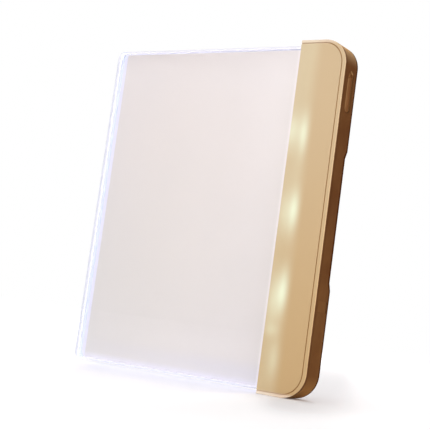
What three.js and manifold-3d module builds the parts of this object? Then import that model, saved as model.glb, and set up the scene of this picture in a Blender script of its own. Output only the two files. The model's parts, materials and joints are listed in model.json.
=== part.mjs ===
// LED panel reading lamp: a clear light-guide panel held along one side by a battery housing.
// Millimetres, +Z up, front facing -Y, origin at the bottom centre of the whole lamp.
// Inside the housing group, x runs left from the right side (0 to -housingWidth), y is the
// depth behind the front face, and z is the height above the bottom end.
import * as THREE from 'three';
import { mergeVertices } from 'three/addons/utils/BufferGeometryUtils.js';
import Module from 'manifold-3d';

const wasm = await Module();
wasm.setup();

// Whole lamp
const height = 175;
const width = 145;
const clearance = 0.3;
const overrun = 1;

// AAA cells, one behind the other, as many as the housing's length takes
const cellLength = 44.5;
const cellDiameter = 10.3;
const buttonDiameter = 3.8;
const buttonHeight = 1.1;
const cellEdge = 0.5;
const endRoom = 16;

// Housing walls
const housingWidth = 25.8;
const cornerRadius = 12.5;
const wall = 1.45;
const coverThickness = 1.4;
const backThickness = 1.5;
const thickness = coverThickness + cellDiameter + backThickness + 2 * clearance;
const rearRounding = 0.5;
const frontRounding = 0.35;

// Engraved line round the cover, nearer to the edge at the two ends
const grooveInset = 1.95;
const grooveEndInset = 1.4;
const grooveWidth = 0.5;
const grooveDepth = 0.4;

// Cover details
const lipThickness = 0.9;
const lipHeight = 1.2;
const skirtThickness = 1.3;

// Clear panel
const panelStep = 4;
const panelCorner = 4;
const panelEdge = 0.35;
const pinShare = 0.49;
const pinEndInset = 12;
const pinCount = 3;

// LED strip
const ledPitch = 40.5;
const ledRise = 2.5;
const ledLength = 3.5;
const ledWidth = 2.8;
const ledHeight = 0.8;
const ledWindow = 0.3;
const boardThickness = 1;
const boardInset = 5.7;
const boardFront = 4.6;
const resistorLength = 2;
const resistorWidth = 1.25;
const resistorHeight = 0.55;
const resistorOffset = 8;
const postLength = 5;
const postThickness = 0.5;
const postGrip = 1.6;

// Battery bay and its contacts
const bayWall = 0.7;
const bayEndWall = 1.2;
const contactThickness = 0.4;
const contactSize = 8;
const contactTabWidth = 2;
const contactTabReach = 2;
const springHeight = 5;
const springWire = 0.6;
const springTurns = 3.5;
const springBaseRadius = 3.6;
const springTopRadius = 2.2;

// Battery door
const doorLap = 0.6;
const doorEndLap = 1.5;
const doorCorner = 1;
const seatThickness = 1.2;
const tabCount = 3;
const tabLength = 9;
const tabReach = 1.9;
const tabThickness = 1;
const tabSwingDepth = 3.7;
const hookCount = 2;
const hookEndInset = 27.2;
const hookLength = 6;
const hookThickness = 0.8;
const hookNose = 0.4;
const hookInset = 0.9;
const hookDrop = 1.4;
const gripCount = 5;
const gripPitch = 2.2;
const gripWidth = 0.9;
const gripLength = 6;
const gripDepth = 0.35;
const gripInset = 1.6;

// Finger scoop in the rear right edge
const scoopDepth = 2.05;
const scoopLength = 61;
const scoopRamp = 4.6;
const scoopWidth = 2.2;

// Slide switch
const pocketTopInset = 14.2;
const pocketFront = 4.5;
const pocketDepth = 1.6;
const pocketFloor = 1;
const pocketRim = 1;
const knobLength = 17.4;
const knobWidth = 5.2;
const knobTravel = 3;
const knobThickness = 1.2;
const knobRounding = 0.3;
const knobCrown = 0.5;
const prongThickness = 1;
const prongWidth = 2;
const prongLength = 0.9;
const leverLength = 1.8;
const leverWidth = 1.6;
const leverBaseLength = 3.2;
const leverBaseWidth = 2.2;
const leverBaseHeight = 1.1;
const switchWidth = 3.7;
const switchDepth = 3;
const switchWall = 0.5;
const lugCount = 3;
const lugPitch = 1.3;
const lugWidth = 0.6;
const lugThickness = 0.4;
const lugLength = 2;

// Shallow relief low on the right side
const reliefBottom = 42.4;
const reliefHeight = 5.3;
const reliefFront = 3.2;
const reliefBack = 11.8;
const reliefDepth = 0.25;

// Screws
const screwHeadDiameter = 3.6;
const screwHeadHeight = 1.2;
const screwShankDiameter = 1.9;
const screwLength = 7.5;
const screwTipLength = 1.4;
const crossWidth = 0.6;
const crossLength = 2.2;
const crossDepth = 0.7;
const bossWall = 0.8;
const screwSeat = 0.9;
const endScrewInset = 7.6;
const sideScrewSpread = 54;

// Wires
const wireDiameter = 0.9;
const wireSides = 8;
const wireSteps = 16;
const wireRise = 1.8;
const wireOffset = 3.2;

// Facets
const arcFacets = 12;
const smallFacets = 20;
const cellFacets = 28;
const crownFacets = 72;
const springFacets = 12;
const springSides = 6;

// Places across the housing, from the right side towards the panel: the switch, the bay and
// the LED strip follow one another, and the panel's tongue takes what is left
const middle = height / 2;
const pocketBack = -pocketDepth - pocketFloor;
const switchFace = pocketBack - clearance;
const bayRight = switchFace - switchDepth - clearance - bayWall;
const bayWidth = cellDiameter + 2 * clearance;
const bayLeft = bayRight - bayWidth;
const cellX = bayLeft + bayWidth / 2;
const boardBack = bayLeft - bayWall - clearance;
const boardFace = boardBack - boardThickness;
const ledFace = boardFace - ledHeight;
const tongueEnd = ledFace - clearance;
const tongueLength = housingWidth + tongueEnd;
const pinDiameter = pinShare * tongueLength;
const cellY = coverThickness + clearance + cellDiameter / 2;
const bayDeep = coverThickness + clearance;

// Places in depth
const doorInner = thickness - backThickness;
const seatTop = doorInner - clearance;
const seatBottom = seatTop - seatThickness;
const tongueBack = doorInner - clearance;
const tabSlotFront = thickness - tabSwingDepth;

// Places in height
const contactStack = 2 * (contactThickness + 2 * clearance) + springHeight + clearance;
const cellRoom = height - 2 * endRoom - contactStack;
const cellCount = Math.floor((cellRoom + clearance) / (cellLength + clearance));
const stackLength = cellCount * cellLength + (cellCount - 1) * clearance;
const bayLength = stackLength + contactStack;
const bayBottom = middle - bayLength / 2;
const bayTop = middle + bayLength / 2;
const springBase = bayBottom + contactThickness + 2 * clearance;
const cellBase = springBase + springHeight + clearance;
const doorBottom = bayBottom - doorEndLap;
const doorTop = bayTop + doorEndLap;
const doorRight = -wall - clearance;
const doorLeft = bayLeft - doorLap;
const lipEdge = doorLeft - clearance;

const pocketTop = height - pocketTopInset;
const pocketLength = knobLength + knobTravel + 2 * clearance;
const pocketBottom = pocketTop - pocketLength;
const pocketWidth = knobWidth + 2 * clearance;
const pocketY = pocketFront + pocketWidth / 2;
const knobZ = pocketBottom + clearance + knobLength / 2;
const slotZ = knobZ + knobTravel / 2;
const switchRoom = leverBaseLength + knobTravel + 2 * clearance;
const lugX = switchFace - switchDepth / 2;
const lugTop = slotZ + switchRoom / 2 + switchWall + lugLength;

const boardWidth = tabSlotFront - clearance - boardFront;
const boardLength = bayLength - 2 * boardInset;
const ledCount = Math.floor(boardLength / ledPitch);
const boardY = boardFront + boardWidth / 2;
const boardX = (boardFace + boardBack) / 2;
const boardBottom = middle + ledRise - boardLength / 2;
const boardTop = boardBottom + boardLength;
const contactEdge = clearance + contactThickness / 2;
const contactTabLength = clearance + bayEndWall + contactTabReach;
const positiveTabEnd = bayTop - contactEdge + contactTabLength;
const negativeTabEnd = bayBottom + contactEdge - contactTabLength;
const wireCrest = Math.max(positiveTabEnd, lugTop, boardTop) + clearance + wireRise;
const wireTrough = Math.min(negativeTabEnd, boardBottom) - clearance - wireRise;

// Geometry helpers
function solidFrom(geometry) {
  const bare = geometry.index ? geometry.toNonIndexed() : geometry.clone();
  bare.deleteAttribute('normal');
  bare.deleteAttribute('uv');
  const merged = mergeVertices(bare);
  const corners = merged.index.array;
  const kept = [];
  for (let i = 0; i < corners.length; i += 3) {
    const [a, b, c] = [corners[i], corners[i + 1], corners[i + 2]];
    if (a !== b && b !== c && c !== a) {
      kept.push(a, b, c);
    }
  }
  const vertProperties = new Float32Array(merged.attributes.position.array);
  const triVerts = new Uint32Array(kept);
  return new wasm.Manifold(new wasm.Mesh({ numProp: 3, vertProperties, triVerts }));
}

function geometryFrom(solid) {
  const { vertProperties, triVerts } = solid.getMesh();
  const geometry = new THREE.BufferGeometry();
  geometry.setAttribute('position', new THREE.BufferAttribute(vertProperties, 3));
  geometry.setIndex(new THREE.BufferAttribute(triVerts, 1));
  geometry.computeVertexNormals();
  return geometry;
}

function join(...solids) {
  return solids.reduce((whole, part) => whole.add(part));
}

function cut(solid, ...tools) {
  return tools.reduce((whole, tool) => whole.subtract(tool), solid);
}

function block([x0, x1], [y0, y1], [z0, z1]) {
  const geometry = new THREE.BoxGeometry(x1 - x0, y1 - y0, z1 - z0);
  geometry.translate((x0 + x1) / 2, (y0 + y1) / 2, (z0 + z1) / 2);
  return solidFrom(geometry);
}

// A round bar along the depth axis
function barAlongDepth(x, z, diameter, front, back) {
  const geometry = new THREE.CylinderGeometry(diameter / 2, diameter / 2, back - front, smallFacets);
  geometry.translate(x, (front + back) / 2, z);
  return solidFrom(geometry);
}

// A shape drawn in (x, z), extruded along the depth axis
function alongDepth(shape, front, back, bevel = 0) {
  const options = { depth: back - front - 2 * bevel, curveSegments: arcFacets, bevelEnabled: bevel > 0 };
  if (bevel > 0) {
    options.bevelThickness = bevel;
    options.bevelSize = bevel;
    options.bevelOffset = -bevel;
    options.bevelSegments = 3;
  }
  const geometry = new THREE.ExtrudeGeometry(shape, options);
  geometry.rotateX(Math.PI / 2);
  geometry.translate(0, back - bevel, 0);
  return solidFrom(geometry);
}

// A shape drawn in (y, z), extruded along x
function alongX(shape, left, right, bevel = 0) {
  const options = { depth: right - left - 2 * bevel, curveSegments: arcFacets, bevelEnabled: bevel > 0 };
  if (bevel > 0) {
    options.bevelThickness = bevel;
    options.bevelSize = bevel;
    options.bevelOffset = -bevel;
    options.bevelSegments = 2;
  }
  const geometry = new THREE.ExtrudeGeometry(shape, options);
  const axes = new THREE.Matrix4().makeBasis(
    new THREE.Vector3(0, 1, 0),
    new THREE.Vector3(0, 0, 1),
    new THREE.Vector3(1, 0, 0),
  );
  geometry.applyMatrix4(axes);
  geometry.translate(left + bevel, 0, 0);
  return solidFrom(geometry);
}

function roundedRectangle(x0, x1, y0, y1, radius) {
  const shape = new THREE.Shape();
  shape.moveTo(x0 + radius, y0);
  shape.lineTo(x1 - radius, y0);
  shape.absarc(x1 - radius, y0 + radius, radius, -Math.PI / 2, 0);
  shape.lineTo(x1, y1 - radius);
  shape.absarc(x1 - radius, y1 - radius, radius, 0, Math.PI / 2);
  shape.lineTo(x0 + radius, y1);
  shape.absarc(x0 + radius, y1 - radius, radius, Math.PI / 2, Math.PI);
  shape.lineTo(x0, y0 + radius);
  shape.absarc(x0 + radius, y0 + radius, radius, Math.PI, 1.5 * Math.PI);
  return shape;
}

// The housing's outline, round at its two right corners, open-ended past its left edge
function housingOutline(inset, endInset = inset) {
  const left = -housingWidth - overrun;
  const top = height - cornerRadius;
  const across = cornerRadius - inset;
  const upward = cornerRadius - endInset;
  const shape = new THREE.Shape();
  shape.moveTo(left, endInset);
  shape.lineTo(-cornerRadius, endInset);
  shape.absellipse(-cornerRadius, cornerRadius, across, upward, -Math.PI / 2, 0);
  shape.lineTo(-inset, top);
  shape.absellipse(-cornerRadius, top, across, upward, 0, Math.PI / 2);
  shape.lineTo(left, height - endInset);
  return shape;
}

// What lies between two depths inside the housing's own width
function housingSlice(front, back) {
  return block([-housingWidth, overrun], [front, back], [-overrun, height + overrun]);
}

function ring(outerInset, innerInset, front, back) {
  const outer = alongDepth(housingOutline(outerInset), front, back);
  const inner = alongDepth(housingOutline(innerInset), front - overrun, back + overrun);
  return cut(outer, inner).intersect(housingSlice(front, back));
}

// Screws: two through the ends of the rear shell, two beside the bay under the door
const sideScrewX = (-wall + bayRight + bayWall) / 2;
const endScrewX = cellX;
const bossDiameter = screwShankDiameter + 2 * clearance + 2 * bossWall;
const screwPlaces = [
  { x: endScrewX, z: height - endScrewInset, seat: thickness },
  { x: endScrewX, z: endScrewInset, seat: thickness },
  { x: sideScrewX, z: middle + sideScrewSpread / 2, seat: seatTop },
  { x: sideScrewX, z: middle - sideScrewSpread / 2, seat: seatTop },
];
const counterboreDepth = screwHeadHeight + clearance;

// The cover's boss ends a clearance short of the web under the screw's head
function bossEnd(seat) {
  return seat - counterboreDepth - screwSeat - clearance;
}

// Pins of the rear shell that pass through the panel's tongue
const pinX = (-housingWidth + tongueEnd) / 2;
function pinHeights() {
  const span = height - 2 * pinEndInset;
  return Array.from({ length: pinCount }, (_, i) => pinEndInset + (i * span) / (pinCount - 1));
}

function ledHeights() {
  const first = middle + ledRise - ((ledCount - 1) * ledPitch) / 2;
  return Array.from({ length: ledCount }, (_, i) => first + i * ledPitch);
}

function tabHeights() {
  const span = bayLength - tabLength - 2 * doorEndLap;
  const gap = span / tabCount;
  return Array.from({ length: tabCount }, (_, i) => middle + (i - (tabCount - 1) / 2) * gap);
}

function hookHeights() {
  const gap = (doorTop - doorBottom - 2 * hookEndInset) / (hookCount - 1);
  return Array.from({ length: hookCount }, (_, i) => middle + (i - (hookCount - 1) / 2) * gap);
}

// Front cover: a thin plate with an engraved line, a locating lip, a skirt that closes the
// step down to the panel, screw bosses and posts for the LED board
function frontCover() {
  const back = coverThickness + 2 * frontRounding;
  const slab = alongDepth(housingOutline(0), 0, back, frontRounding);
  const plate = slab.intersect(housingSlice(-overrun, coverThickness));
  const lipInset = wall + clearance;
  const lip = ring(lipInset, lipInset + lipThickness, coverThickness / 2, coverThickness + lipHeight);
  const skirt = block(
    [-housingWidth, -housingWidth + skirtThickness],
    [coverThickness / 2, panelStep - clearance],
    [lipInset, height - lipInset],
  );
  const grooveOuter = alongDepth(housingOutline(grooveInset, grooveEndInset), -overrun, grooveDepth);
  const grooveInner = alongDepth(
    housingOutline(grooveInset + grooveWidth, grooveEndInset + grooveWidth),
    -2 * overrun,
    grooveDepth + overrun,
  );
  const groove = cut(grooveOuter, grooveInner);
  const bosses = screwPlaces.map(({ x, z, seat }) =>
    barAlongDepth(x, z, bossDiameter, coverThickness / 2, bossEnd(seat)));
  const pilots = screwPlaces.map(({ x, z, seat }) =>
    barAlongDepth(x, z, screwShankDiameter + 2 * clearance, coverThickness, bossEnd(seat) + overrun));
  return cut(join(plate, lip, skirt, ...bosses, ...boardPosts()), groove, ...pilots);
}

// Each post cradles the LED board's front edge, halfway between two LEDs
function boardPosts() {
  const heights = ledHeights().slice(1).map((z) => z - ledPitch / 2);
  return heights.flatMap((z) => {
    const span = [z - postLength / 2, z + postLength / 2];
    const outer = boardFace - clearance - postThickness;
    const foot = block([outer, boardBack], [coverThickness / 2, boardFront - clearance], span);
    const cheek = block([outer, boardFace - clearance], [coverThickness / 2, boardFront + postGrip], span);
    return [foot, cheek];
  });
}

// Rear shell: side and end walls, back floor, the recessed seat of the battery door, the
// bay's thin walls, the switch pocket, the finger scoop and the pins that hold the panel
function rearShell() {
  const front = coverThickness + clearance;
  const slab = alongDepth(housingOutline(0), front - 2 * rearRounding - overrun, thickness, rearRounding);
  const body = slab.intersect(housingSlice(front, thickness + overrun));
  const hollow = alongDepth(housingOutline(wall), front - overrun, doorInner);
  const shell = cut(body, hollow);
  const joined = join(shell, doorSeat(), bayWalls(), pocketBacking(), ...panelPins(), ...screwSleeves());
  return cut(
    joined,
    doorRecess(),
    bayOpening(),
    ...tabSlots(),
    ...hookSlots(),
    ...contactSlots(),
    ...screwHoles(),
    scoop(),
    ...switchPocket(),
    relief(),
  );
}

const seatEnds = [doorBottom - clearance - seatThickness, doorTop + clearance + seatThickness];

function doorSeat() {
  return block([ledFace, -wall / 2], [seatBottom, doorInner + backThickness / 2], seatEnds);
}

function doorRecess() {
  return block(
    [lipEdge, -wall],
    [seatTop, thickness + overrun],
    [doorBottom - clearance, doorTop + clearance],
  );
}

function bayWalls() {
  return block(
    [bayLeft - bayWall, bayRight + bayWall],
    [bayDeep, seatTop],
    [bayBottom - bayEndWall, bayTop + bayEndWall],
  );
}

function bayOpening() {
  return block([bayLeft, bayRight], [bayDeep - overrun, thickness + overrun], [bayBottom, bayTop]);
}

// Slots that let the door's tabs swing under the lip
function tabSlots() {
  return tabHeights().map((z) => block(
    [ledFace - overrun, bayLeft + overrun],
    [tabSlotFront, doorInner],
    [z - tabLength / 2 - clearance, z + tabLength / 2 + clearance],
  ));
}

function hookSlots() {
  const outer = doorRight + clearance;
  const inner = doorRight - hookInset - hookThickness - hookNose - clearance;
  return hookHeights().map((z) => block(
    [inner, outer],
    [seatBottom - overrun, seatTop + overrun],
    [z - hookLength / 2 - clearance, z + hookLength / 2 + clearance],
  ));
}

// Slots in the bay's end walls for the contacts' solder tabs
function contactSlots() {
  const half = contactTabWidth / 2 + clearance;
  const halfThick = contactThickness / 2 + clearance;
  return [bayBottom - bayEndWall - overrun, bayTop].map((z) => block(
    [cellX - half, cellX + half],
    [cellY - halfThick, cellY + halfThick],
    [z, z + bayEndWall + overrun],
  ));
}

function screwSleeves() {
  return screwPlaces.map(({ x, z, seat }) => barAlongDepth(
    x,
    z,
    screwHeadDiameter + 2 * clearance + 2 * bossWall,
    seat - counterboreDepth - screwSeat,
    seat - clearance,
  ).intersect(shellInside()));
}

// Keeps a sleeve off the bay and inside the shell's walls
function shellInside() {
  const inside = alongDepth(housingOutline(wall / 2), 0, thickness - clearance);
  return cut(inside, bayOpening());
}

function screwHoles() {
  return screwPlaces.flatMap(({ x, z, seat }) => {
    const headRoom = screwHeadDiameter + 2 * clearance;
    const shankRoom = screwShankDiameter + 2 * clearance;
    const head = barAlongDepth(x, z, headRoom, seat - counterboreDepth, seat + overrun);
    const shank = barAlongDepth(x, z, shankRoom, bossEnd(seat) - overrun, seat);
    return [head, shank];
  });
}

function panelPins() {
  const front = panelStep + clearance;
  return pinHeights().map((z) => barAlongDepth(pinX, z, pinDiameter, front, thickness - clearance));
}

// The scoop bares the door's edge, so that a fingernail can lift it
function scoop() {
  const floor = thickness - scoopDepth;
  const half = scoopLength / 2;
  const climb = (scoopRamp * (scoopDepth + overrun)) / scoopDepth;
  const shape = new THREE.Shape();
  shape.moveTo(floor, middle - half);
  shape.lineTo(floor, middle + half);
  shape.lineTo(thickness + overrun, middle + half + climb);
  shape.lineTo(thickness + overrun, middle - half - climb);
  return alongX(shape, -scoopWidth, overrun);
}

function pocketBacking() {
  const [front, back] = [pocketFront - pocketRim, pocketFront + pocketWidth + pocketRim];
  const half = pocketWidth / 2 + pocketRim;
  const shape = roundedRectangle(front, back, pocketBottom - pocketRim, pocketTop + pocketRim, half);
  return alongX(shape, pocketBack, -wall / 2);
}

function switchPocket() {
  const back = pocketFront + pocketWidth;
  const shape = roundedRectangle(pocketFront, back, pocketBottom, pocketTop, pocketWidth / 2);
  const recess = alongX(shape, -pocketDepth, overrun);
  const slotHalf = (leverLength + knobTravel) / 2 + clearance + prongThickness + clearance;
  const slotWide = prongWidth / 2 + clearance;
  const slot = block(
    [pocketBack - overrun, -pocketDepth + overrun],
    [pocketY - slotWide, pocketY + slotWide],
    [slotZ - slotHalf, slotZ + slotHalf],
  );
  return [recess, slot];
}

function relief() {
  return block(
    [-reliefDepth, overrun],
    [reliefFront, reliefBack],
    [reliefBottom, reliefBottom + reliefHeight],
  );
}

// Battery door: a plate with L-shaped tabs on its left edge and hooks near its right edge
function batteryDoor() {
  const outline = roundedRectangle(doorLeft, doorRight, doorBottom, doorTop, doorCorner);
  const plate = alongDepth(outline, doorInner, thickness);
  const tabs = tabHeights().flatMap((z) => {
    const span = [z - tabLength / 2, z + tabLength / 2];
    const root = doorLeft + tabThickness;
    const tabFront = seatTop - tabThickness;
    const foot = block([doorLeft - tabReach, root], [tabFront, seatTop], span);
    const leg = block([doorLeft, root], [tabFront, doorInner + clearance], span);
    return [foot, leg];
  });
  const hooks = hookHeights().flatMap((z) => {
    const span = [z - hookLength / 2, z + hookLength / 2];
    const outer = doorRight - hookInset;
    const inner = outer - hookThickness;
    const end = seatBottom - hookDrop;
    const leg = block([inner, outer], [end, doorInner + clearance], span);
    const nose = block([inner - hookNose, outer], [end, end + hookThickness], span);
    return [leg, nose];
  });
  const grips = Array.from({ length: gripCount }, (_, i) => {
    const z = middle + (i - (gripCount - 1) / 2) * gripPitch;
    const right = doorRight - gripInset;
    return block(
      [right - gripLength, right],
      [thickness - gripDepth, thickness + overrun],
      [z - gripWidth / 2, z + gripWidth / 2],
    );
  });
  return cut(join(plate, ...tabs, ...hooks), ...grips);
}

// Clear panel: flush with the housing's back, with a thinner tongue that slides under its lip
function lightPanel() {
  const bottom = wall + clearance;
  const outline = new THREE.Shape();
  outline.moveTo(tongueEnd, bottom);
  outline.lineTo(tongueEnd, height - bottom);
  outline.lineTo(-width + panelCorner, height - bottom);
  outline.absarc(-width + panelCorner, height - bottom - panelCorner, panelCorner, Math.PI / 2, Math.PI);
  outline.lineTo(-width, bottom + panelCorner);
  outline.absarc(-width + panelCorner, bottom + panelCorner, panelCorner, Math.PI, 1.5 * Math.PI);
  const plate = alongDepth(outline, panelStep, thickness, panelEdge);
  const rebate = block(
    [-housingWidth - clearance, overrun],
    [tongueBack, thickness + overrun],
    [-overrun, height + overrun],
  );
  const hole = pinDiameter + 2 * clearance;
  const holes = pinHeights().map((z) => barAlongDepth(pinX, z, hole, panelStep - overrun, thickness));
  return cut(plate, rebate, ...holes);
}

// Slide switch: the crowned outer knob, the lever that it pushes, and the body behind the wall
function switchKnob() {
  const half = knobWidth / 2;
  const outline = roundedRectangle(-half, half, -knobLength / 2, knobLength / 2, half);
  const inner = -pocketDepth + clearance;
  const bar = alongX(outline, inner, inner + knobThickness, knobRounding);
  const crownRadius = (half * half + knobCrown * knobCrown) / (2 * knobCrown);
  const crown = new THREE.CylinderGeometry(crownRadius, crownRadius, 2 * knobLength, crownFacets);
  crown.rotateX(Math.PI / 2);
  crown.translate(inner + knobThickness - crownRadius, 0, 0);
  const plate = bar.intersect(solidFrom(crown));
  const prongs = [1, -1].map((side) => {
    const near = side * (leverLength / 2 + clearance);
    const far = near + side * prongThickness;
    return block(
      [inner - prongLength, inner + knobThickness / 2],
      [-prongWidth / 2, prongWidth / 2],
      [Math.min(near, far), Math.max(near, far)],
    );
  });
  return join(plate, ...prongs);
}

function switchLever() {
  const top = -pocketDepth;
  const base = switchFace;
  const lever = block(
    [base - leverBaseHeight / 2, top],
    [-leverWidth / 2, leverWidth / 2],
    [-leverLength / 2, leverLength / 2],
  );
  const foot = block(
    [base - leverBaseHeight, base],
    [-leverBaseWidth / 2, leverBaseWidth / 2],
    [-leverBaseLength / 2, leverBaseLength / 2],
  );
  return join(lever, foot);
}

function switchBody() {
  const roomWidth = leverBaseWidth + 2 * clearance;
  const half = switchRoom / 2 + switchWall;
  const can = block(
    [switchFace - switchDepth, switchFace],
    [-switchWidth / 2, switchWidth / 2],
    [-half, half],
  );
  const room = block(
    [switchFace - leverBaseHeight - clearance, switchFace + overrun],
    [-roomWidth / 2, roomWidth / 2],
    [-switchRoom / 2, switchRoom / 2],
  );
  const lugs = Array.from({ length: lugCount }, (_, i) => {
    const y = (i - (lugCount - 1) / 2) * lugPitch;
    return block(
      [lugX - lugThickness / 2, lugX + lugThickness / 2],
      [y - lugWidth / 2, y + lugWidth / 2],
      [half - switchWall / 2, half + lugLength],
    );
  });
  return join(cut(can, room), ...lugs);
}

// LED strip
function ledBoard() {
  const outline = roundedRectangle(boardFront, boardFront + boardWidth, boardBottom, boardTop, clearance);
  return alongX(outline, boardFace, boardBack);
}

// A chip package with a shallow window on its light side
function ledPackage() {
  const body = block([-ledHeight, 0], [-ledWidth / 2, ledWidth / 2], [-ledLength / 2, ledLength / 2]);
  const rim = ledWindow;
  const window = block(
    [-ledHeight - overrun, -ledHeight + ledWindow],
    [-ledWidth / 2 + rim, ledWidth / 2 - rim],
    [-ledLength / 2 + rim, ledLength / 2 - rim],
  );
  return cut(body, window);
}

function resistorChip() {
  return block(
    [-resistorHeight, 0],
    [-resistorWidth / 2, resistorWidth / 2],
    [-resistorLength / 2, resistorLength / 2],
  );
}

// A cell standing on its flat end, turned about its own axis
function cellSolid() {
  const radius = cellDiameter / 2;
  const shoulder = cellLength - buttonHeight;
  const profile = [
    [0, 0],
    [radius - cellEdge, 0],
    [radius, cellEdge],
    [radius, shoulder - cellEdge],
    [radius - cellEdge, shoulder],
    [buttonDiameter / 2, shoulder],
    [buttonDiameter / 2, cellLength],
    [0, cellLength],
  ].map(([r, h]) => new THREE.Vector2(r, h));
  const geometry = new THREE.LatheGeometry(profile, cellFacets);
  geometry.rotateX(Math.PI / 2);
  return solidFrom(geometry);
}

// A flat contact plate with a solder tab that passes through the bay's end wall
function contactPlate(direction) {
  const half = contactSize / 2;
  const outline = roundedRectangle(-half, half, -half, half, contactThickness);
  const geometry = new THREE.ExtrudeGeometry(outline, { depth: contactThickness, bevelEnabled: false });
  geometry.translate(0, 0, -contactThickness / 2);
  const tab = block(
    [-contactTabWidth / 2, contactTabWidth / 2],
    [-contactThickness / 2, contactThickness / 2],
    direction > 0 ? [0, contactTabLength] : [-contactTabLength, 0],
  );
  return join(solidFrom(geometry), tab);
}

class ConeHelix extends THREE.Curve {
  getPoint(t, target = new THREE.Vector3()) {
    const angle = 2 * Math.PI * springTurns * t;
    const radius = springBaseRadius + (springTopRadius - springBaseRadius) * t;
    const climb = springWire / 2 + (springHeight - springWire) * t;
    return target.set(radius * Math.cos(angle), radius * Math.sin(angle), climb);
  }
}

function tube(curve, diameter, sides, steps) {
  const section = new THREE.Shape();
  const corner = (i) => (2 * Math.PI * i) / sides;
  const radius = diameter / 2;
  section.moveTo(radius, 0);
  for (let i = 1; i < sides; i += 1) {
    section.lineTo(radius * Math.cos(corner(i)), radius * Math.sin(corner(i)));
  }
  return new THREE.ExtrudeGeometry(section, { steps, extrudePath: curve, bevelEnabled: false });
}

// The least gap between two turns of the spring, measured on points along it
function leastSpringGap() {
  const points = new ConeHelix().getPoints(Math.round(springTurns * springFacets * 4));
  const apart = Math.round(springFacets * 2);
  let least = Infinity;
  points.forEach((point, i) => {
    for (let j = i + apart; j < points.length; j += 1) {
      least = Math.min(least, point.distanceTo(points[j]));
    }
  });
  return least - springWire;
}

// A thread-forming screw with a pan head and a cross recess, its head towards +y
function screwSolid() {
  const head = screwHeadDiameter / 2;
  const shank = screwShankDiameter / 2;
  const profile = [
    [0, -screwLength],
    [shank, -screwLength + screwTipLength],
    [shank, 0],
    [head, 0],
    [head, screwHeadHeight / 2],
    [head - screwHeadHeight / 4, screwHeadHeight],
    [0, screwHeadHeight],
  ].map(([r, h]) => new THREE.Vector2(r, h));
  const turned = solidFrom(new THREE.LatheGeometry(profile, smallFacets));
  const depth = [screwHeadHeight - crossDepth, screwHeadHeight + overrun];
  const half = crossLength / 2;
  const arm = crossWidth / 2;
  return cut(turned, block([-half, half], depth, [-arm, arm]), block([-arm, arm], depth, [-half, half]));
}

// Wires: each runs between two solder points, arched through the free space past the bay's end
function wire(...points) {
  const curve = new THREE.CatmullRomCurve3(points.map((p) => new THREE.Vector3(...p)));
  return geometryFrom(solidFrom(tube(curve, wireDiameter, wireSides, wireSteps)));
}

function cellWire() {
  const start = positiveTabEnd + clearance;
  return wire(
    [cellX, cellY, start],
    [cellX + wireDiameter / 2, cellY, (start + wireCrest) / 2],
    [(2 * cellX + lugX) / 3, cellY, wireCrest],
    [(cellX + 2 * lugX) / 3, pocketY, wireCrest - wireRise / 4],
    [lugX, pocketY, (wireCrest + lugTop) / 2],
    [lugX, pocketY, lugTop + clearance],
  );
}

function switchedWire() {
  const front = cellY - wireOffset;
  const lugY = pocketY - lugPitch;
  return wire(
    [lugX, lugY, lugTop + clearance],
    [lugX, lugY - wireDiameter / 2, lugTop + wireRise],
    [(2 * lugX + bayRight) / 3, (lugY + front) / 2, wireCrest - wireRise],
    [bayRight - wireOffset / 2, front, wireCrest],
    [bayLeft + wireOffset, front, wireCrest],
    [bayLeft, (front + boardY) / 2, wireCrest - wireRise],
    [boardX, boardY - wireDiameter, (wireCrest + boardTop) / 2],
    [boardX, boardY, boardTop + clearance],
  );
}

function returnWire() {
  const start = negativeTabEnd - clearance;
  const end = boardBottom - clearance;
  return wire(
    [cellX, cellY, start],
    [cellX - wireDiameter / 2, cellY, (start + wireTrough) / 2],
    [(cellX + bayLeft) / 2, cellY, wireTrough],
    [(bayLeft + boardX) / 2, boardY, wireTrough + wireRise / 2],
    [boardX, boardY, (2 * wireTrough + end) / 3],
    [boardX, boardY, (wireTrough + 2 * end) / 3],
    [boardX, boardY, end],
  );
}

// Materials
function material(color, roughness, metalness, more = {}) {
  return new THREE.MeshStandardMaterial({ color, roughness, metalness, ...more });
}
const goldPlastic = () => material(0xd8bd95, 0.42, 0.25);
const bronzePlastic = () => material(0x6b4526, 0.48, 0.1);
const clearAcrylic = () => material(0xf2ecf4, 0.06, 0, { transparent: true, opacity: 0.45 });
const nickel = () => material(0xb9b7b2, 0.3, 1);
const steel = () => material(0x8f8d8a, 0.35, 1);
const boardWhite = () => material(0xe9ebe4, 0.5, 0);
const ledYellow = () => material(0xe8dc8a, 0.4, 0);
const chipBlack = () => material(0x1c1c1e, 0.5, 0);
const cellSleeve = () => material(0x4b5b66, 0.35, 0.3);
const redSleeve = () => material(0xa8201a, 0.5, 0);
const blackSleeve = () => material(0x18181a, 0.5, 0);
const leverBlack = () => material(0x232021, 0.45, 0);

// Assembly
const lamp = new THREE.Group();
const housing = new THREE.Group();
housing.position.set(width / 2, -thickness / 2, 0);
lamp.add(housing);

function place(name, geometry, finish, x = 0, y = 0, z = 0, parent = housing) {
  const mesh = new THREE.Mesh(geometry, finish);
  mesh.name = name;
  mesh.position.set(x, y, z);
  parent.add(mesh);
  return mesh;
}

place('front_cover', geometryFrom(frontCover()), goldPlastic());
place('rear_shell', geometryFrom(rearShell()), bronzePlastic());
place('light_panel', geometryFrom(lightPanel()), clearAcrylic());
place('battery_door', geometryFrom(batteryDoor()), bronzePlastic());

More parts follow.
